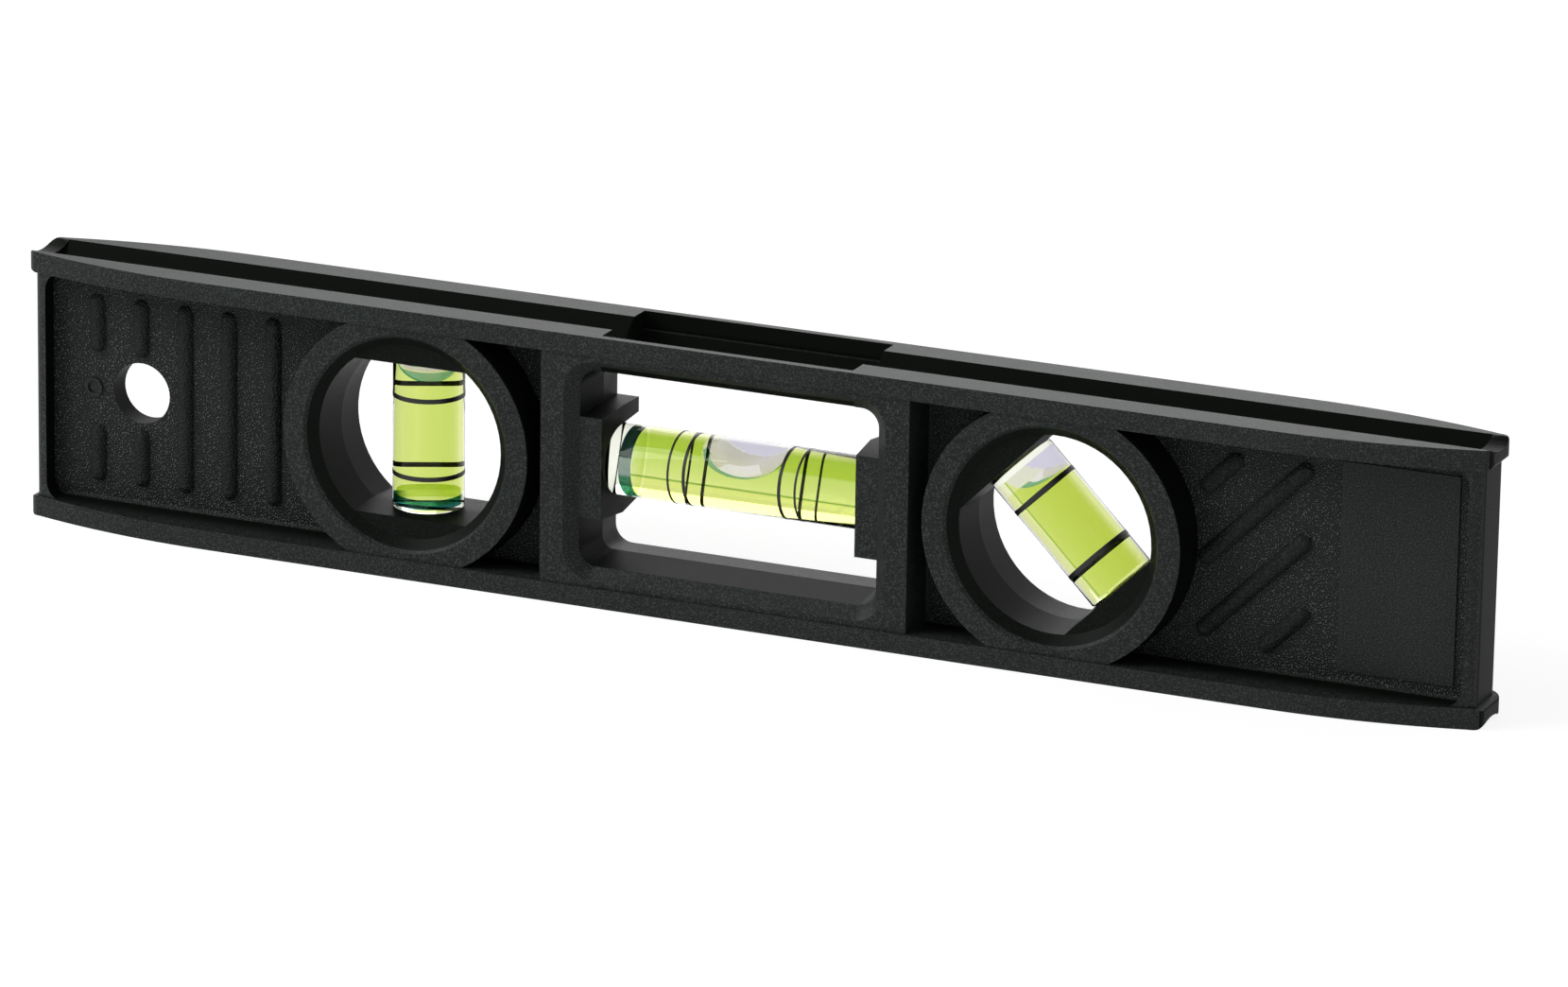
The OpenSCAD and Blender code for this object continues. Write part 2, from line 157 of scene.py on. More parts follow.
@dataclass(frozen=True)
class ShellPlastic:
    """Black ABS, injection moulded against a spark-eroded steel tool.

    The faces carry a fine grain, and its lighter grey dots are painted glints. The two
    sunk panels carry a coarse leather grain whose peaks are painted light grey as glints.
    The grooves and the pocket have a polish, so they look deeper black than the rest; that
    deeper black is also painted shade on the side walls in the sunk panels, in the ring
    bores and in the window. Both grains are drawn a little coarser than life, so that they show.
    """

    base: str = "#151817"
    cloud: str = "#1b1f1e"
    # Lighter grey dots on the fine grain: a painted glint where the grain catches the light.
    speck_glint: str = "#464c4a"
    # Deeper black of the grooves and pocket, which have a polish; it is also painted shade on the
    # side walls in the sunk panels, in the ring bores and in the window.
    polished_and_shade: str = "#0c100c"
    pit: str = "#1c211f"
    # Light grey on the peaks of the leather grain: a painted glint.
    crest_glint: str = "#828886"
    roughness: float = 0.46
    specular: float = 0.16
    roughness_swing: float = 0.08
    rough_from: float = 0.3
    rough_to: float = 0.7
    polished_specular: float = 0.04
    ior: float = 1.5
    fine_mm: float = 0.2
    fine_height_mm: float = 0.04
    fine_strength: float = 0.7
    polished_strength: float = 0.08
    leather_mm: float = 0.3
    leather_height_mm: float = 0.22
    cloud_mm: float = 11.0
    dome_from: float = 0.05
    dome_to: float = 0.6
    cloud_from: float = 0.3
    cloud_to: float = 0.75
    speck_from: float = 0.46
    speck_to: float = 0.72
    crest_from: float = 0.3
    crest_to: float = 1.0

    def zones(self, tree: bpy.types.NodeTree, coord: bpy.types.Node,
              body: "BodyShell") -> dict[str, Any]:
        """Mask each zone of the body by its place and by the way it faces.

        Args:
            tree: The node tree that gets the masks.
            coord: Its texture coordinates.
            body: Gives the places where the grain changes.

        Returns:
            The masks by name, one inside the zone and zero outside.
        """
        place = add_node(tree, "ShaderNodeSeparateXYZ", i0=coord.outputs["Object"])
        facing = add_node(tree, "ShaderNodeSeparateXYZ", i0=coord.outputs["Normal"])
        above = add_node(tree, "ShaderNodeMath", {"operation": "SUBTRACT"},
                         i0=place.outputs["Z"], i1=body.mid_z)
        masks: dict[str, Any] = {"one": 1.0, "partly": body.painted_light_share,
                                 "x": place.outputs["X"], "z": place.outputs["Z"]}
        for name, source in (("along", place.outputs["X"]), ("deep", place.outputs["Y"]),
                             ("height", above.outputs[0]), ("fore", facing.outputs["Y"]),
                             ("upward", facing.outputs["Z"])):
            size = add_node(tree, "ShaderNodeMath", {"operation": "ABSOLUTE"}, i0=source)
            masks[name] = size.outputs[0]
        folded = add_node(tree, "ShaderNodeCombineXYZ", i0=masks["along"], i2=above.outputs[0])
        from_ring = add_node(tree, "ShaderNodeVectorMath", {"operation": "DISTANCE"},
                             i0=folded.outputs[0], i1=(body.ring_x, 0.0, 0.0))
        from_mark = add_node(tree, "ShaderNodeVectorMath", {"operation": "DISTANCE"},
                             i0=coord.outputs["Object"], i1=(body.mark_x, -body.panel_y, body.mid_z))
        masks["from_ring"] = from_ring.outputs["Value"]
        masks["from_mark"] = from_mark.outputs["Value"]
        for name, source, low, high, start, end in body.borders():
            border = add_node(tree, "ShaderNodeMapRange", {"interpolation_type": "SMOOTHSTEP"},
                              i0=masks[source], i1=low, i2=high, i3=start, i4=end)
            masks[name] = border.outputs[0]
        for name, operation, first, second in body.overlaps():
            overlap = add_node(tree, "ShaderNodeMath", {"operation": operation},
                               i0=masks[first], i1=masks[second])
            masks[name] = overlap.outputs[0]
        return masks

    def build(self, body: "BodyShell") -> bpy.types.Material:
        """Build the plastic with its grain zones.

        Args:
            body: Gives the places where the grain changes.

        Returns:
            The material.
        """
        material, tree = new_material("moulded_black_abs")
        coord = add_node(tree, "ShaderNodeTexCoord")
        masks = self.zones(tree, coord, body)
        leather_zone, smooth = masks["leather"], masks["smooth"]

        fine = add_node(tree, "ShaderNodeTexNoise", {"noise_dimensions": "3D"},
                        Vector=coord.outputs["Object"], Scale=per_mm(self.fine_mm),
                        Detail=2.0, Roughness=0.65)
        pebbles = add_node(tree, "ShaderNodeTexVoronoi", {"feature": "SMOOTH_F1"},
                           Vector=coord.outputs["Object"], Scale=per_mm(self.leather_mm),
                           Smoothness=0.3, Randomness=1.0)
        dome = add_node(tree, "ShaderNodeMapRange", i0=pebbles.outputs["Distance"],
                        i1=self.dome_from, i2=self.dome_to, i3=1.0, i4=0.0)
        drift = add_node(tree, "ShaderNodeTexNoise", Vector=coord.outputs["Object"],
                         Scale=per_mm(self.cloud_mm), Detail=2.0, Roughness=0.5)

        cloudy = add_node(tree, "ShaderNodeMapRange", i0=drift.outputs[0],
                          i1=self.cloud_from, i2=self.cloud_to)
        specked = add_node(tree, "ShaderNodeMapRange", {"interpolation_type": "SMOOTHSTEP"},
                           i0=fine.outputs[0], i1=self.speck_from, i2=self.speck_to)
        raised = add_node(tree, "ShaderNodeMapRange", {"interpolation_type": "SMOOTHSTEP"},
                          i0=dome.outputs[0], i1=self.crest_from, i2=self.crest_to)
        crested = add_node(tree, "ShaderNodeMath", {"operation": "MULTIPLY"},
                           i0=raised.outputs[0], i1=masks["glinting_leather"])
        tone = add_node(tree, "ShaderNodeMix", {"data_type": "RGBA"}, i0=cloudy.outputs[0],
                        i6=linear_colour(self.base), i7=linear_colour(self.cloud))
        # Painted glint: grey dots on the fine grain.
        specks = add_node(tree, "ShaderNodeMix", {"data_type": "RGBA"}, i0=specked.outputs[0],
                          i6=tone.outputs[2], i7=linear_colour(self.speck_glint))
        # Painted glint: the leather grain's peaks turn light grey, less on the ribs.
        grains = add_node(tree, "ShaderNodeMix", {"data_type": "RGBA"}, i0=crested.outputs[0],
                          i6=linear_colour(self.pit), i7=linear_colour(self.crest_glint))
        grained = add_node(tree, "ShaderNodeMix", {"data_type": "RGBA"}, i0=leather_zone,
                           i6=specks.outputs[2], i7=grains.outputs[2])
        # Deeper black where the grooves and pocket have a polish, and painted shade on the side
        # walls in the sunk panels and in the bores and window.
        colour = add_node(tree, "ShaderNodeMix", {"data_type": "RGBA"}, i0=smooth,
                          i6=grained.outputs[2], i7=linear_colour(self.polished_and_shade))

        rough = add_node(tree, "ShaderNodeMapRange", i0=fine.outputs[0],
                         i1=self.rough_from, i2=self.rough_to,
                         i3=self.roughness - self.roughness_swing,
                         i4=self.roughness + self.roughness_swing)
        shine = add_node(tree, "ShaderNodeMapRange", i0=smooth, i3=self.specular,
                         i4=self.polished_specular)
        fine_depth = add_node(tree, "ShaderNodeMapRange", i0=smooth, i3=self.fine_strength,
                              i4=self.polished_strength)
        fine_bump = add_node(tree, "ShaderNodeBump", Strength=fine_depth.outputs[0],
                             Distance=self.fine_height_mm * MM, Height=fine.outputs[0])
        relief = add_node(tree, "ShaderNodeMath", {"operation": "MULTIPLY"},
                          i0=dome.outputs[0], i1=leather_zone)
        leather_bump = add_node(tree, "ShaderNodeBump", Strength=1.0,
                                Distance=self.leather_height_mm * MM,
                                Height=relief.outputs[0], Normal=fine_bump.outputs[0])
        shader = add_node(tree, "ShaderNodeBsdfPrincipled", Base_Color=colour.outputs[2],
                          Roughness=rough.outputs[0], IOR=self.ior,
                          Specular_IOR_Level=shine.outputs[0],
                          Normal=leather_bump.outputs[0])
        add_node(tree, "ShaderNodeOutputMaterial", Surface=shader.outputs[0])
        return material


@dataclass(frozen=True)
class ClearAcrylic:
    """Clear acrylic with the polish of its mould: a sharp gloss that bends what is behind it.

    Solid acrylic bends light by 1.49. Here it is less, as the vials' thin walls show it.
    """

    name: str
    ior: float = 1.25
    tint: str = "#fbfdfc"
    haze_mm: float = 1.5
    haze_from: float = 0.5
    haze_to: float = 0.8
    haze: float = 0.03

    def build(self) -> bpy.types.Material:
        """Build the acrylic's outer face, with the faint haze of handling.

        Returns:
            The material.
        """
        material, tree = new_material(self.name)
        coord = add_node(tree, "ShaderNodeTexCoord")
        haze = add_node(tree, "ShaderNodeTexNoise", Vector=coord.outputs["Object"],
                        Scale=per_mm(self.haze_mm), Detail=2.0)
        rough = add_node(tree, "ShaderNodeMapRange", i0=haze.outputs[0], i1=self.haze_from,
                         i2=self.haze_to, i3=0.0, i4=self.haze)
        shader = add_node(tree, "ShaderNodeBsdfPrincipled", Base_Color=linear_colour(self.tint),
                          Roughness=rough.outputs[0], IOR=self.ior)
        shader.inputs["Transmission Weight"].default_value = 1.0
        add_node(tree, "ShaderNodeOutputMaterial", Surface=shader.outputs[0])
        return material


@dataclass(frozen=True)
class WettedWall:
    """Inner wall of a vial, where the acrylic meets the dyed spirit.

    The two bend light nearly alike, so it goes straight on. The curved front of the
    wall is painted with two colour stripes and a thin green line where they meet: a
    painted refraction. The back is plain.
    """

    name: str
    centre: Vector
    across: Vector
    bore: float
    painted_bands: Bands
    plain: str = "#f4f6d8"
    blend: float = 0.2

    def build(self) -> bpy.types.Material:
        """Build the wall with its painted stripes on the front, and plain at the back.

        Returns:
            The material.
        """
        material, tree = new_material(self.name)
        coord = add_node(tree, "ShaderNodeTexCoord")
        share = share_across(tree, coord, self.centre, self.across, self.bore)
        place = add_node(tree, "ShaderNodeSeparateXYZ", i0=coord.outputs["Object"])
        front = add_node(tree, "ShaderNodeMapRange", i0=place.outputs["Y"],
                         i1=-self.blend * self.bore, i2=self.blend * self.bore, i3=1.0, i4=0.0)
        banded = add_node(tree, "ShaderNodeValToRGB", stops=self.painted_bands, i0=share)
        colour = add_node(tree, "ShaderNodeMix", {"data_type": "RGBA"}, i0=front.outputs[0],
                          i6=linear_colour(self.plain), i7=banded.outputs[0])
        shader = add_node(tree, "ShaderNodeBsdfTransparent", Color=colour.outputs[2])
        add_node(tree, "ShaderNodeOutputMaterial", Surface=shader.outputs[0])
        return material


@dataclass(frozen=True)
class BondedFace:
    """Face where two clear pieces touch: the light goes straight on, tinted or not."""

    name: str
    tint: str = "#ffffff"
    clear: str = "#ffffff"
    patch_mm: float = 2.5
    fade: float = 0.25

    def build(self) -> bpy.types.Material:
        """Build the face, with a faint unevenness in its tint.

        Returns:
            The material.
        """
        material, tree = new_material(self.name)
        coord = add_node(tree, "ShaderNodeTexCoord")
        uneven = add_node(tree, "ShaderNodeTexNoise", Vector=coord.outputs["Object"],
                          Scale=per_mm(self.patch_mm), Detail=1.0)
        share = add_node(tree, "ShaderNodeMapRange", i0=uneven.outputs[0], i3=0.0, i4=self.fade)
        tint = add_node(tree, "ShaderNodeMix", {"data_type": "RGBA"}, i0=share.outputs[0],
                        i6=linear_colour(self.tint), i7=linear_colour(self.clear))
        shader = add_node(tree, "ShaderNodeBsdfTransparent", Color=tint.outputs[2])
        add_node(tree, "ShaderNodeOutputMaterial", Surface=shader.outputs[0])
        return material


@dataclass(frozen=True)
class SpiritFilm:
    """Thin film of spirit round a plug's nose, painted dark teal where the light skims along it."""

    name: str
    centre: Vector
    across: Vector
    reach: float
    painted_bands: Bands
    clear: str = "#ffffff"
    blend_from: float = 0.3
    blend_to: float = 0.6

    def build(self) -> bpy.types.Material:
        """Build the film as a painted tint on its front, clear at the back.

        Returns:
            The material.
        """
        material, tree = new_material(self.name)
        coord = add_node(tree, "ShaderNodeTexCoord")
        share = share_across(tree, coord, self.centre, self.across, self.reach)
        place = add_node(tree, "ShaderNodeSeparateXYZ", i0=coord.outputs["Object"])
        front = add_node(tree, "ShaderNodeMapRange", i0=place.outputs["Y"],
                         i1=self.blend_from * self.reach, i2=self.blend_to * self.reach,
                         i3=1.0, i4=0.0)
        banded = add_node(tree, "ShaderNodeValToRGB", stops=self.painted_bands, i0=share)
        tint = add_node(tree, "ShaderNodeMix", {"data_type": "RGBA"}, i0=front.outputs[0],
                        i6=linear_colour(self.clear), i7=banded.outputs[0])
        shader = add_node(tree, "ShaderNodeBsdfTransparent", Color=tint.outputs[2])
        add_node(tree, "ShaderNodeOutputMaterial", Surface=shader.outputs[0])
        return material


@dataclass(frozen=True)
class VialLiquid:
    """Dyed mineral spirit: clear, and deeper in colour the further the light goes through it.

    Where it meets the air bubble it partly mirrors the pale backdrop, with a painted lilac
    tint on that reflection, and a painted teal line on its rim at the front of the wall.
    The acrylic round it bends light nearly as it does, so it has no bend of its own.
    """

    name: str = "dyed_spirit"
    colour: str = "#e4ef4c"
    dye_per_mm: float = 0.14
    ior: float = 1.0
    clear: str = "#ffffff"
    patch_mm: float = 3.0
    fade: float = 0.2
    # Painted lilac tint where the liquid meets the air, and a painted teal line at the front of its
    # rim.
    painted_tints: Bands = ((0.0, "#ffffff"), (MENISCUS_FACE, "#e8e0fa"), (MENISCUS_RIM, "#2898a6"))
    mirrors: Bands = ((0.0, "#000000"), (MENISCUS_FACE, "#787878"), (MENISCUS_RIM, "#000000"))

    def build(self) -> bpy.types.Material:
        """Build the liquid as a surface that passes light and a volume that colours it.

        Returns:
            The material.
        """
        material, tree = new_material(self.name)
        coord = add_node(tree, "ShaderNodeTexCoord")
        uneven = add_node(tree, "ShaderNodeTexNoise", Vector=coord.outputs["Object"],
                          Scale=per_mm(self.patch_mm), Detail=1.0)
        pale = add_node(tree, "ShaderNodeMapRange", i0=uneven.outputs[0], i3=0.0, i4=self.fade)
        air = add_node(tree, "ShaderNodeAttribute", {"attribute_name": UNDER_AIR})
        tinted = add_node(tree, "ShaderNodeValToRGB", stops=self.painted_tints, i0=air.outputs["Fac"])
        mirrored = add_node(tree, "ShaderNodeValToRGB", stops=self.mirrors, i0=air.outputs["Fac"])
        tint = add_node(tree, "ShaderNodeMix", {"data_type": "RGBA"}, i0=pale.outputs[0],
                        i6=tinted.outputs[0], i7=linear_colour(self.clear))
        shader = add_node(tree, "ShaderNodeBsdfPrincipled", Base_Color=tint.outputs[2],
                          Metallic=mirrored.outputs[0], Roughness=0.0, IOR=self.ior)
        shader.inputs["Transmission Weight"].default_value = 1.0
        volume = add_node(tree, "ShaderNodeVolumeAbsorption", Color=linear_colour(self.colour),
                          Density=self.dye_per_mm / MM)
        add_node(tree, "ShaderNodeOutputMaterial", Surface=shader.outputs[0],
                 Volume=volume.outputs[0])
        return material


@dataclass(frozen=True)
class RingInk:
    """Black pad-printed ink: dense, with a low satin sheen."""

    colour: str = "#0d0f10"
    grain_mm: float = 0.4
    glossiest: float = 0.35
    dullest: float = 0.6
    ior: float = 1.5

    def build(self) -> bpy.types.Material:
        """Build the ink with a slight unevenness in its sheen.

        Returns:
            The material.
        """
        material, tree = new_material("black_ring_ink")
        coord = add_node(tree, "ShaderNodeTexCoord")
        uneven = add_node(tree, "ShaderNodeTexNoise", Vector=coord.outputs["Object"],
                          Scale=per_mm(self.grain_mm), Detail=2.0)
        rough = add_node(tree, "ShaderNodeMapRange", i0=uneven.outputs[0], i3=self.glossiest,
                         i4=self.dullest)
        shader = add_node(tree, "ShaderNodeBsdfPrincipled", Base_Color=linear_colour(self.colour),
                          Roughness=rough.outputs[0], IOR=self.ior)
        add_node(tree, "ShaderNodeOutputMaterial", Surface=shader.outputs[0])
        return material


def add_piece(name: str, bm: bmesh.types.BMesh, materials: list[bpy.types.Material],
              nodes: tuple[str, ...], smooth_deg: float = 30.0) -> bpy.types.Object:
    """Turn a bmesh into a piece that rides on the body.

    Args:
        name: The piece's name.
        bm: The finished mesh in the row's frame, freed here.
        materials: Materials by face index.
        nodes: The CAD nodes that the piece stands for.
        smooth_deg: Edges sharper than this stay sharp.

    Returns:
        The new object.
    """
    mesh = bpy.data.meshes.new(name)
    bm.to_mesh(mesh)
    bm.free()
    for material in materials:
        mesh.materials.append(material)
    mesh.shade_smooth()
    mesh.set_sharp_from_angle(angle=math.radians(smooth_deg))
    piece = bpy.data.objects.new(name, mesh)
    bpy.context.scene.collection.objects.link(piece)
    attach(piece, BODY)
    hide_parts(*nodes)
    LOG.info("%s: %d faces", name, len(mesh.polygons))
    return piece


@dataclass
class BodyShell:
    """The moulded body, with its sharp edges rounded as a mould leaves them."""

    edge_radius: float = 0.15 * MM
    bevel_angle: float = 26.0
    merge_dist: float = 0.002 * MM
    flat_angle: float = 0.6
    normal_weight: int = 80
    mid_z: float = 18.05 * MM
    rib_top: float = 2.5 * MM
    frame_half: float = 26.2 * MM
    ring_x: float = 44.9 * MM
    bore_end: float = 14.15 * MM
    # Share used twice: how much of the painted glint the ribs lose, and how strong the painted shade
    # is in the ring bores and the window.
    painted_light_share: float = 0.85
    window_half: float = 24.0 * MM
    mark_x: float = -92.93 * MM
    mark_radius: float = 1.5 * MM
    panel_y: float = 1.6 * MM
    face_y: float = 7.3 * MM
    rail_inner: float = 15.6 * MM
    plate_low: float = 81.4 * MM
    plate_high: float = 96.95 * MM
    plate_half: float = 13.6 * MM
    groove_half: float = 3.42 * MM
    groove_floor: float = 15.6 * MM
    pocket_x: float = 17.5 * MM
    pocket_y: float = 6.6 * MM
    pocket_z: float = 30.6 * MM

    def borders(self) -> tuple[tuple[str, str, float, float, float, float], ...]:
        """List the borders of the grain zones.

        Returns:
            Each border's name, the mask that it reads, its low and high, and the values there.
        """
        soft, softer = 0.1 * MM, 0.3 * MM
        return (
            ("outboard", "along", self.frame_half, self.frame_half + 0.5 * MM, 0.0, 1.0),
            ("sunk_panel", "deep", self.rib_top, self.rib_top + softer, 1.0, 0.0),
            ("faces_out", "fore", 0.3, 0.6, 0.0, 1.0),
            ("faces_aside", "fore", 0.2, 0.5, 1.0, 0.0),
            ("between_rails", "height", self.rail_inner - 0.4 * MM, self.rail_inner - 0.2 * MM,
             1.0, 0.0),
            ("past_plate_low", "x", self.plate_low, self.plate_low + soft, 0.0, 1.0),
            ("before_plate_high", "x", self.plate_high, self.plate_high + soft, 1.0, 0.0),
            ("plate_tall", "height", self.plate_half, self.plate_half + soft, 1.0, 0.0),
            ("off_mark", "from_mark", self.mark_radius, self.mark_radius + soft, 0.0, 1.0),
            ("off_bore", "from_ring", self.bore_end, self.bore_end + soft, 0.0, 1.0),
            ("in_window", "along", self.window_half, self.window_half + soft, 1.0, 0.0),
            ("on_rib", "deep", self.panel_y + 0.15 * MM, self.panel_y + 0.4 * MM, 0.0, 1.0),
            ("below_face", "deep", self.face_y - 0.4 * MM, self.face_y, 1.0, 0.0),
            ("sloped", "upward", 0.93, 0.98, 1.0, 0.0),
            ("sunk_floor", "height", self.mid_z - soft, self.mid_z, 1.0, 0.0),
            ("groove_tall", "height", self.groove_floor, self.groove_floor + soft, 0.0, 1.0),
            ("groove_wide", "deep", self.groove_half, self.groove_half + soft, 1.0, 0.0),
            ("pocket_tall", "z", self.pocket_z, self.pocket_z + softer, 0.0, 1.0),
            ("pocket_wide", "deep", self.pocket_y, self.pocket_y + soft, 1.0, 0.0),
            ("pocket_long", "along", self.pocket_x, self.pocket_x + soft, 1.0, 0.0),
        )

    def overlaps(self) -> tuple[tuple[str, str, str, str], ...]:
        """List the zones that are made from two masks each.

        Returns:
            Each zone's name, the operation and the two masks, where "one" is the whole body.
        """
        return (
            ("plate_strip", "MULTIPLY", "past_plate_low", "before_plate_high"),
            ("plate", "MULTIPLY", "plate_strip", "plate_tall"),
            ("off_plate", "SUBTRACT", "one", "plate"),
            ("sunk_outboard", "MULTIPLY", "sunk_panel", "outboard"),
            ("sunk_face", "MULTIPLY", "sunk_outboard", "faces_out"),
            ("panel", "MULTIPLY", "sunk_face", "between_rails"),
            ("grained_panel", "MULTIPLY", "panel", "off_plate"),
            ("leather", "MULTIPLY", "grained_panel", "off_mark"),
            # Ribs keep only a small part of the painted glint of the leather grain.
            ("rib", "MULTIPLY", "leather", "on_rib"),
            ("glint_cut_on_rib", "MULTIPLY", "rib", "partly"),
            ("glinting_leather", "SUBTRACT", "leather", "glint_cut_on_rib"),
            # Side walls in the sunk panels get painted shade.
            ("side_outboard", "MULTIPLY", "faces_aside", "outboard"),
            ("side_inside", "MULTIPLY", "side_outboard", "between_rails"),
            ("side_off_bore", "MULTIPLY", "side_inside", "off_bore"),
            ("shaded_recess", "MULTIPLY", "side_off_bore", "below_face"),
            ("groove_run", "MULTIPLY", "groove_tall", "groove_wide"),
            ("groove_wall", "MAXIMUM", "sloped", "sunk_floor"),
            ("groove", "MULTIPLY", "groove_run", "groove_wall"),
            ("pocket_run", "MULTIPLY", "pocket_tall", "pocket_wide"),
            ("pocket_box", "MULTIPLY", "pocket_run", "pocket_long"),
            ("pocket", "MULTIPLY", "pocket_box", "sloped"),
            ("hollows", "MAXIMUM", "groove", "pocket"),
            # Ring bores and window walls get painted shade at part strength; all painted shade joins
            # the grooves and pocket, which have a polish.
            ("in_bore", "SUBTRACT", "one", "off_bore"),
            ("window_side", "MULTIPLY", "in_window", "faces_aside"),
            ("window_inside", "MULTIPLY", "window_side", "between_rails"),
            ("openings", "MAXIMUM", "in_bore", "window_inside"),
            ("shaded_openings", "MULTIPLY", "openings", "partly"),
            ("shaded_sides", "MAXIMUM", "shaded_recess", "shaded_openings"),
            ("smooth", "MAXIMUM", "hollows", "shaded_sides"),
        )

    def mesh(self) -> bmesh.types.BMesh:
        """Merge the frame's loose triangles into faces and round the edges.

        Returns:
            The body's mesh.
        """
        bm = bmesh.new()
        bm.from_mesh(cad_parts["body"].data)
        bmesh.ops.remove_doubles(bm, verts=bm.verts, dist=self.merge_dist)
        bmesh.ops.dissolve_limit(bm, angle_limit=math.radians(self.flat_angle), verts=bm.verts,
                                 edges=bm.edges)
        sharp = [e for e in bm.edges if len(e.link_faces) == 2
                 and math.degrees(e.calc_face_angle(0.0)) > self.bevel_angle]
        bmesh.ops.bevel(bm, geom=sharp, offset=self.edge_radius, offset_type="OFFSET", segments=2,
                        profile=0.5, affect="EDGES", clamp_overlap=True, material=-1,
                        loop_slide=True)
        return bm

    def build(self) -> bpy.types.Object:
        """Build the body piece, its large faces shaded flat and its edges shaded soft.

        Returns:
            The piece.
        """
        body = add_piece("body_shell", self.mesh(), [ShellPlastic().build(self)],
                         ("body",), 40.0)
        mesh = body.data
        for edge in mesh.edges:
            ends = [mesh.vertices[i].co for i in edge.vertices]
            if all(abs(co.y) < TOUCH for co in ends) and (ends[0] - ends[1]).length > TOUCH:
                edge.use_edge_sharp = True
        weighted = body.modifiers.new("face_weighted_normals", "WEIGHTED_NORMAL")
        weighted.keep_sharp = True
        weighted.weight = self.normal_weight
        flat = bpy.data.meshes.new_from_object(
            body.evaluated_get(bpy.context.evaluated_depsgraph_get()))
        body.modifiers.clear()
        body.data = flat
        bpy.data.meshes.remove(mesh)
        flat.name = "body_shell"
        return body


class VialPose(Enum):
    """Which way a vial's axis points, from its plug to its moulded end."""

    LEVEL = 90.0
    PLUMB = 0.0
    ANGLE = 135.0

    def turn(self) -> Matrix:
        """Rotation from the vial's own Z axis to the row's frame."""
        return Matrix.Rotation(math.radians(self.value), 4, "Y")


class TubeFace(IntEnum):
    """The kinds of face of a tube, in the order of its materials."""

    OUTSIDE = 0
    WETTED = 1
    BONDED = 2
    DRY = 3
    FILM = 4


class PlugFace(IntEnum):
    """The kinds of face of a plug, in the order of its materials."""

    OUTSIDE = 0
    NOSE = 1
    SEAL = 2


@dataclass(frozen=True)
class VialFinish:
    """The materials that all the vials share."""

    outside: bpy.types.Material
    dry: bpy.types.Material
    bonded: bpy.types.Material
    seal: bpy.types.Material
    liquid: bpy.types.Material
    ink: bpy.types.Material


@dataclass(frozen=True)
class AirBubble:
    """An ellipsoid of air, in the vial's own frame, that dents the liquid.

    The push is the way from the air into the liquid.
    """

    centre: Vector
    size: Vector
    push: Vector

    def depth(self, co: Vector) -> float:
        """Tell how far a point must go along the push to leave the air.

        Args:
            co: The point, in the vial's own frame.

        Returns:
            The way to go, and zero where the point isn't in the air.
        """
        p = Vector([(co[i] - self.centre[i]) / self.size[i] for i in range(3)])
        d = Vector([self.push[i] / self.size[i] for i in range(3)])
        a, b, c = d.dot(d), p.dot(d), p.dot(p) - 1.0
        if c >= 0.0:
            return 0.0
        return (-b + math.sqrt(b * b - a * c)) / a


def lathe(profile: list[tuple[float, float]], segments: int = 96) -> bmesh.types.BMesh:
    """Spin a profile of radius and height round Z.

    Args:
        profile: Points from one end of the profile to the other.
        segments: Steps round the axis.

    Returns:
        The closed mesh, with its poles and seam merged.
    """
    bm = bmesh.new()
    verts = [bm.verts.new((r, 0.0, z)) for r, z in profile]
    edges = [bm.edges.new(pair) for pair in zip(verts, verts[1:])]
    bmesh.ops.spin(bm, geom=verts + edges, cent=(0, 0, 0), axis=(0, 0, 1),
                   angle=2 * math.pi, steps=segments, use_merge=True)
    bmesh.ops.remove_doubles(bm, verts=bm.verts, dist=0.001 * MM)
    bmesh.ops.recalc_face_normals(bm, faces=bm.faces)
    return bm


def steps(start: tuple[float, float], end: tuple[float, float],
          length: float) -> list[tuple[float, float]]:
    """Divide a straight stretch of a profile.

    Args:
        start: The first point, which is kept.
        end: The last point, which is left to the next stretch.
        length: About how far apart the points lie.

    Returns:
        The points.
    """
    count = max(1, round(math.dist(start, end) / length))
    return [(start[0] + (end[0] - start[0]) * i / count,
             start[1] + (end[1] - start[1]) * i / count) for i in range(count)]


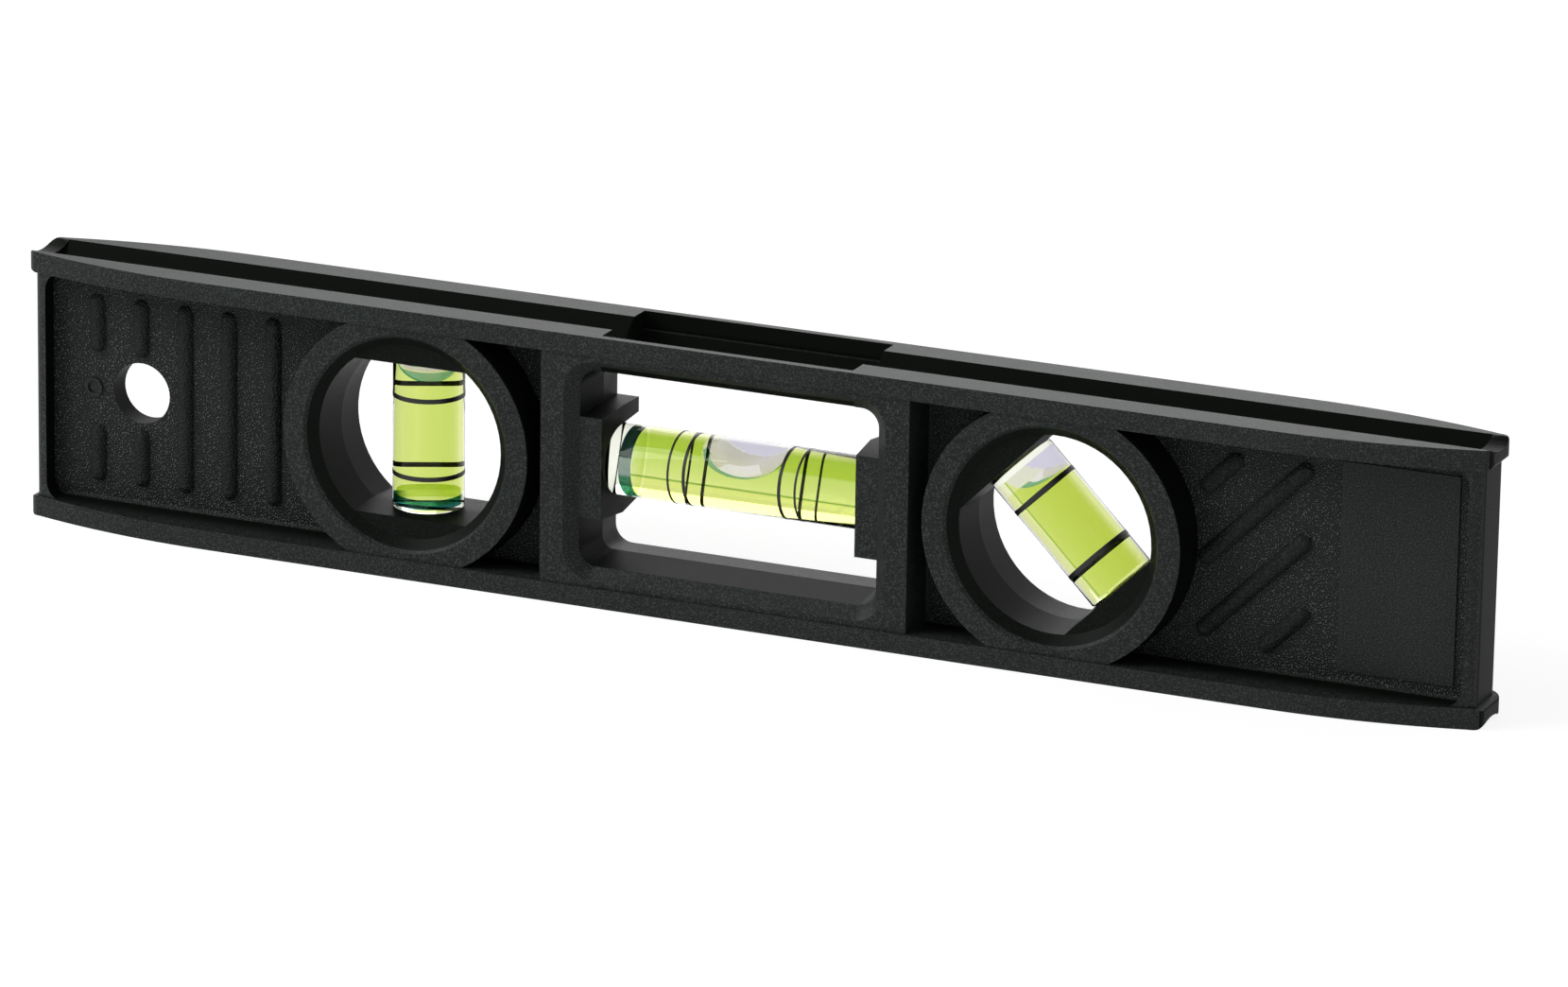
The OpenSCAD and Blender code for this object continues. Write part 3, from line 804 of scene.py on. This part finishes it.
@dataclass
class Vial:
    """One vial: tube, plug, liquid with its bubble, and rings.

    The film of spirit lies between the plug's nose and the tube, from film_drop below
    the seal to film above it. A dry nose stands in the air and has no film.
    """

    prefix: str
    pose: VialPose
    rings: tuple[tuple[str, float], ...]
    seal: float
    end: float
    bubble: AirBubble
    across: Vector
    painted_bands: Bands
    film_bands: Bands
    nose_tint: str = "#ffffff"
    dry_nose: bool = False
    meniscus: float = 1.5 * MM
    film: float = 1.7 * MM
    film_drop: float = 0.0
    nose: float = 1.7 * MM
    nose_gap: float = 0.3 * MM
    nose_chamfer: float = 0.3 * MM
    seal_gap: float = 0.005 * MM
    liquid_gap: float = 0.02 * MM
    rounding: float = 0.25 * MM
    cell: float = 0.22 * MM
    fine_segments: int = 128
    ink_height: float = 0.02 * MM
    ink_depth: float = 0.1 * MM

    def __post_init__(self) -> None:
        """Read the vial's place and size from the frame."""
        low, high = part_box(f"{self.prefix}_tube")
        self.centre: Vector = (low + high) / 2
        self.radius: float = (high.y - low.y) / 2
        inner_low, inner_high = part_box(f"{self.prefix}_liquid")
        self.bore: float = (inner_high.y - inner_low.y) / 2
        span = high - low
        if self.pose is VialPose.LEVEL:
            self.half: float = span.x / 2
        elif self.pose is VialPose.PLUMB:
            self.half = span.z / 2
        else:
            self.half = (span.x * math.sqrt(2) - 2 * self.radius) / 2

    def place(self, bm: bmesh.types.BMesh) -> bmesh.types.BMesh:
        """Move a mesh from the vial's own frame to the row's frame.

        Args:
            bm: The mesh, with the vial's axis on Z.

        Returns:
            The same mesh.
        """
        matrix = Matrix.Translation(self.centre) @ self.pose.turn()
        bmesh.ops.transform(bm, matrix=matrix, verts=bm.verts)
        return bm

    def tube(self, finish: VialFinish) -> bpy.types.Object:
        """Build the tube, moulded shut at one end, dry inside where the air is.

        Args:
            finish: The shared materials.

        Returns:
            The piece.
        """
        r, c, b, h, e = self.radius, self.rounding, self.bore, self.half, self.end
        foot, top = -h + self.seal, h - e
        film_start = foot - self.film_drop
        film_end = foot if self.dry_nose else foot + self.film
        bulge = c * 0.3
        outside = [(0, h), (r - c, h), (r - bulge, h - bulge), (r, h - c), (r, -h + c),
                   (r - bulge, -h + bulge), (r - c, -h), (b, -h)]
        inside = steps((b, film_start), (b, top), self.cell) + steps((b, top), (0, top), self.cell)
        bm = lathe(outside + inside + [(0, top)])
        for face in bm.faces:
            mid = face.calc_center_median()
            in_bore = math.hypot(mid.x, mid.y) <= b + TOUCH
            if not in_bore or not -h + TOUCH < mid.z < top + TOUCH:
                continue
            if mid.z < film_start:
                face.material_index = TubeFace.BONDED
            elif mid.z < film_end:
                face.material_index = TubeFace.FILM
            elif self.bubble.depth(mid) == 0.0:
                face.material_index = TubeFace.WETTED
            else:
                face.material_index = TubeFace.DRY
        wetted = WettedWall(f"{self.prefix}_wetted_acrylic", self.centre, self.across, b, self.painted_bands)
        film = SpiritFilm(f"{self.prefix}_spirit_film", self.centre, self.across, b,
                          self.film_bands)
        return add_piece(f"{self.prefix}_barrel", self.place(bm),
                         [finish.outside, wetted.build(), finish.bonded, finish.dry, film.build()],
                         (f"{self.prefix}_tube",))

    def plug(self, finish: VialFinish) -> bpy.types.Object:
        """Build the plug with its nose in the liquid.

        Args:
            finish: The shared materials.

        Returns:
            The piece.
        """
        b, n = self.bore - self.seal_gap, self.bore - self.nose_gap
        h, c = self.half, self.nose_chamfer
        foot = -h + self.seal
        tip = foot + self.nose
        bm = lathe([(0, -h), (b, -h), (b, foot), (n, foot), (n, tip - c), (n - c, tip), (0, tip)])
        for face in bm.faces:
            mid = face.calc_center_median()
            if mid.z > foot + TOUCH:
                face.material_index = PlugFace.NOSE
            elif mid.z > -h + TOUCH:
                face.material_index = PlugFace.SEAL
        nose = BondedFace(f"{self.prefix}_plug_nose", self.nose_tint).build()
        return add_piece(f"{self.prefix}_stopper", self.place(bm),
                         [finish.outside, nose, finish.seal], (f"{self.prefix}_plug",))

    def liquid(self, finish: VialFinish) -> bpy.types.Object:
        """Build the liquid, dented by the air.

        Args:
            finish: The shared materials.

        Returns:
            The piece, which says of each face whether it lies under the air.
        """
        gap, cell = self.liquid_gap, self.cell
        r, h, c = self.bore - gap, self.half, self.rounding
        low, high = -h + self.seal + gap, h - self.end - gap
        nose_r, tip = self.bore - self.nose_gap + gap, -h + self.seal + self.nose + gap
        rim = steps((0, high), (r, high), cell) + steps((r, high), (r, tip), cell)
        if self.dry_nose:
            profile = rim + steps((r, tip), (0, tip), cell) + [(0, tip)]
        else:
            profile = rim + [(r, tip), (r, low), (nose_r, low), (nose_r, tip - c),
                             (nose_r - c, tip), (0, tip)]
        bm = lathe(profile, self.fine_segments)
        moved = set()
        for vert in bm.verts:
            depth = self.bubble.depth(vert.co)
            if depth > 0.0:
                vert.co = vert.co + self.bubble.push * depth
                moved.add(vert)
        under_air = bm.faces.layers.float.new(UNDER_AIR)
        # Faces under the air get the painted lilac tint; those near the wall at the front get the
        # painted teal line.
        for face in bm.faces:
            if all(vert in moved for vert in face.verts):
                near_wall = min(r - math.hypot(vert.co.x, vert.co.y) for vert in face.verts)
                in_front = face.calc_center_median().y < 0.0
                rim_seen = near_wall < self.meniscus and in_front
                face[under_air] = MENISCUS_RIM if rim_seen else MENISCUS_FACE
        bmesh.ops.recalc_face_normals(bm, faces=bm.faces)
        return add_piece(f"{self.prefix}_spirit", self.place(bm), [finish.liquid],
                         (f"{self.prefix}_liquid",), 60.0)

    def ring(self, node: str, width: float, finish: VialFinish) -> bpy.types.Object:
        """Build one printed ring at its node's place.

        Args:
            node: The ring's CAD node.
            width: How wide the ring is printed.
            finish: The shared materials.

        Returns:
            The piece.
        """
        low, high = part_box(node)
        offset = self.pose.turn().inverted() @ ((low + high) / 2 - self.centre)
        out, into, z = self.radius + self.ink_height, self.radius - self.ink_depth, offset.z
        w = width / 2
        bm = lathe([(into, z - w), (out, z - w), (out, z + w), (into, z + w), (into, z - w)],
                   self.fine_segments)
        return add_piece(node + "_ink", self.place(bm), [finish.ink], (node,))

    def build(self, finish: VialFinish) -> list[bpy.types.Object]:
        """Build every piece of the vial.

        Args:
            finish: The shared materials.

        Returns:
            The pieces, from the tube inwards and then the rings.
        """
        pieces = [self.tube(finish), self.plug(finish), self.liquid(finish)]
        pieces += [self.ring(node, width, finish) for node, width in self.rings]
        return pieces


@dataclass
class Studio:
    """Pale floor, soft lamps, white backdrop and the camera at the photograph's angle."""

    azimuth: float = 23.46
    elevation: float = 17.09
    roll: float = 0.917
    distance_mm: float = 1178.86
    target_mm: tuple[float, float, float] = (5.371, 0.0, 16.465)
    focal_px: float = 9781.7
    image_width_px: float = 1659.0
    sensor_mm: float = 36.0
    nearest: float = 0.05
    farthest: float = 20.0
    soft_light: float = 0.35
    ceiling_from: float = 0.5
    ceiling_to: float = 0.85
    ceiling_glow: float = 0.2
    floor_glow: float = 0.86
    floor_half: float = 3.0

    def camera(self) -> bpy.types.Object:
        """Place the camera where the photograph was taken from.

        Returns:
            The camera.
        """
        a, e, k = (math.radians(v) for v in (self.azimuth, self.elevation, self.roll))
        look = Vector((-math.sin(a) * math.cos(e), math.cos(a) * math.cos(e), -math.sin(e)))
        right = Vector((math.cos(a), math.sin(a), 0.0))
        up = right.cross(look)
        rolled = math.cos(k) * right + math.sin(k) * up
        raised = math.cos(k) * up - math.sin(k) * right
        data = bpy.data.cameras.new("photo_camera")
        data.sensor_fit = "HORIZONTAL"
        data.sensor_width = self.sensor_mm
        data.lens = self.focal_px * self.sensor_mm / self.image_width_px
        data.clip_start, data.clip_end = self.nearest, self.farthest
        camera = bpy.data.objects.new("photo_camera", data)
        bpy.context.scene.collection.objects.link(camera)
        turn = Matrix((rolled, raised, -look)).transposed().to_4x4()
        spot = (Vector(self.target_mm) - look * self.distance_mm) * MM
        camera.matrix_world = Matrix.Translation(spot) @ turn
        bpy.context.scene.camera = camera
        return camera

    def lamp(self, name: str, spot_mm: tuple[float, float, float], size_mm: float,
             power: float) -> bpy.types.Object:
        """Hang one soft square lamp that looks at the object.

        Args:
            name: The lamp's name.
            spot_mm: Where it hangs.
            size_mm: Its side.
            power: Its power in watts.

        Returns:
            The lamp.
        """
        data = bpy.data.lights.new(name, "AREA")
        data.shape = "SQUARE"
        data.size = size_mm * MM
        data.energy = power
        lamp = bpy.data.objects.new(name, data)
        bpy.context.scene.collection.objects.link(lamp)
        spot = Vector(spot_mm) * MM
        aim = Vector(self.target_mm) * MM - spot
        turn = aim.to_track_quat("-Z", "Y").to_matrix().to_4x4()
        lamp.matrix_world = Matrix.Translation(spot) @ turn
        return lamp

    def backdrop_switch(self, tree: bpy.types.NodeTree) -> bpy.types.NodeSocket:
        """Tell the rays that show the backdrop from those that light the object.

        Args:
            tree: The node tree that gets the nodes.

        Returns:
            One for a camera, glossy or transmission ray, and zero for the others.
        """
        path = add_node(tree, "ShaderNodeLightPath")
        first = add_node(tree, "ShaderNodeMath", {"operation": "MAXIMUM"},
                         i0=path.outputs["Is Camera Ray"], i1=path.outputs["Is Glossy Ray"])
        both = add_node(tree, "ShaderNodeMath", {"operation": "MAXIMUM"},
                        i0=first.outputs[0], i1=path.outputs["Is Transmission Ray"])
        return both.outputs[0]

    def world(self) -> None:
        """Light the scene softly all round, and show it white."""
        world = bpy.data.worlds.new("studio_world")
        world.use_nodes = True
        tree = world.node_tree
        tree.nodes.clear()
        soft = add_node(tree, "ShaderNodeBackground", Color=linear_colour("#ffffff"),
                        Strength=self.soft_light)
        coord = add_node(tree, "ShaderNodeTexCoord")
        towards = add_node(tree, "ShaderNodeSeparateXYZ", i0=coord.outputs["Generated"])
        ceiling = add_node(tree, "ShaderNodeMapRange", {"interpolation_type": "SMOOTHSTEP"},
                           i0=towards.outputs["Z"], i1=self.ceiling_from,
                           i2=self.ceiling_to, i3=1.0, i4=self.ceiling_glow)
        path = add_node(tree, "ShaderNodeLightPath")
        plain = add_node(tree, "ShaderNodeMath", {"operation": "SUBTRACT"}, i0=1.0,
                         i1=path.outputs["Is Glossy Ray"])
        strength = add_node(tree, "ShaderNodeMath", {"operation": "MAXIMUM"},
                            i0=ceiling.outputs[0], i1=plain.outputs[0])
        white = add_node(tree, "ShaderNodeBackground", Color=linear_colour("#ffffff"),
                         Strength=strength.outputs[0])
        mix = add_node(tree, "ShaderNodeMixShader", i0=self.backdrop_switch(tree),
                       i1=soft.outputs[0], i2=white.outputs[0])
        add_node(tree, "ShaderNodeOutputWorld", Surface=mix.outputs[0])
        bpy.context.scene.world = world

    def floor(self) -> bpy.types.Object:
        """Lay a pale floor under the object, white where nothing shades it.

        Returns:
            The floor.
        """
        bm = bmesh.new()
        bmesh.ops.create_grid(bm, x_segments=1, y_segments=1, size=self.floor_half)
        mesh = bpy.data.meshes.new("studio_floor")
        bm.to_mesh(mesh)
        bm.free()
        material, tree = new_material("pale_paper_floor")
        paper = add_node(tree, "ShaderNodeBsdfDiffuse", Color=linear_colour("#f4f4f2"))
        shaded = add_node(tree, "ShaderNodeBsdfDiffuse", Color=linear_colour("#8c8c8c"))
        white = add_node(tree, "ShaderNodeEmission", Strength=self.floor_glow)
        lit = add_node(tree, "ShaderNodeAddShader", i0=shaded.outputs[0], i1=white.outputs[0])
        mix = add_node(tree, "ShaderNodeMixShader", i0=self.backdrop_switch(tree),
                       i1=paper.outputs[0], i2=lit.outputs[0])
        add_node(tree, "ShaderNodeOutputMaterial", Surface=mix.outputs[0])
        mesh.materials.append(material)
        floor = bpy.data.objects.new("studio_floor", mesh)
        bpy.context.scene.collection.objects.link(floor)
        return floor

    def build(self) -> None:
        """Set the whole studio up."""
        self.camera()
        self.world()
        self.floor()
        self.lamp("key_softbox", spot_mm=(-750.0, -450.0, 650.0), size_mm=600.0, power=7.0)
        self.lamp("rear_softbox", spot_mm=(-300.0, 900.0, 330.0), size_mm=500.0, power=1.3)
        bpy.context.scene.view_settings.view_transform = "Standard"


def vial_finish() -> VialFinish:
    """Make the materials that the vials share.

    Returns:
        The materials.
    """
    return VialFinish(
        outside=ClearAcrylic("clear_acrylic").build(),
        # The dry bore's lilac tint is a painted reflection, like the bubble's.
        dry=BondedFace("dry_acrylic_bore", "#e6e3ee").build(),
        bonded=BondedFace("clear_bonded_face").build(),
        seal=BondedFace("glued_seal", "#fbfbf4").build(),
        liquid=VialLiquid().build(),
        ink=RingInk().build(),
    )


def vials() -> list[Vial]:
    """Describe the three vials.

    Returns:
        The level, the plumb and the 45 degree vial.
    """
    thick, inner, outer = 0.62 * MM, 0.42 * MM, 0.28 * MM
    short_seal, teal = 0.85 * MM, "#20605c"
    # Stripes on the front of each wetted wall are painted refraction.
    level_bands = ((0.0, "#f6f6cc"), (0.37, "#fafad8"), (0.40, "#86ae44"), (0.43, "#f8faea"),
                   (0.79, "#e2eec4"), (0.82, "#cbe07e"), (1.0, "#c2da70"))
    plumb_bands = ((0.0, "#e4ecb8"), (0.5, "#f4f7d6"), (1.0, "#e4ecb8"))
    angle_bands = ((0.0, "#fbfaee"), (0.22, "#fbfaee"), (0.25, "#a3c45a"), (0.28, "#e4ecaa"),
                   (1.0, "#d8e28c"))
    # Films: painted dark teal for light that skims along them; the level one adds a painted lilac
    # reflection in the middle and painted shade of the dark seat.
    level_film = ((0.0, "#2c6655"), (0.34, "#3a7a68"), (0.38, "#8e9db0"), (0.66, "#98a4b8"),
                  (0.7, "#20383a"), (1.0, "#1c3033"))
    teal_film = ((0.0, teal), (1.0, teal))
    return [
        Vial("level", VialPose.LEVEL,
             (("level_ring_1", outer), ("level_ring_2", inner), ("level_ring_3", inner),
              ("level_ring_4", outer)),
             seal=2.35 * MM, end=1.7 * MM,
             bubble=AirBubble(Vector((-3.55, 0, 0.4)) * MM, Vector((3.2, 8.0, 5.8)) * MM,
                              Vector((1, 0, 0))),
             across=Vector((0, 0, 1)), painted_bands=level_bands, film_bands=level_film,
             nose_tint="#eef3cc"),
        Vial("plumb", VialPose.PLUMB, (("plumb_ring_1", thick), ("plumb_ring_2", thick)),
             seal=short_seal, end=0.9 * MM,
             bubble=AirBubble(Vector((0, 0, 10.1)) * MM, Vector((3.6, 3.6, 3.4)) * MM,
                              Vector((0, 0, -1))),
             across=Vector((1, 0, 0)), painted_bands=plumb_bands, film_bands=teal_film,
             nose_tint="#d6e484", meniscus=5.0 * MM, film=0.9 * MM, film_drop=0.5 * MM),
        Vial("angle", VialPose.ANGLE, (("angle_ring_1", thick), ("angle_ring_2", thick)),
             seal=short_seal, end=0.6 * MM,
             bubble=AirBubble(Vector((-3.5, 0, -9.3)) * MM, Vector((5.2, 12.0, 3.5)) * MM,
                              Vector((0, 0, 1))),
             across=Vector((1, 0, 1)).normalized(), painted_bands=angle_bands, film_bands=teal_film,
             dry_nose=True, meniscus=3.0 * MM),
    ]


def main() -> None:
    """Build the studio, the body and the three vials."""
    logging.basicConfig(level=logging.INFO, format="%(name)s %(message)s")
    Studio().build()
    BodyShell().build()
    finish = vial_finish()
    for vial in vials():
        vial.build(finish)


if __name__ == "__main__":
    main()
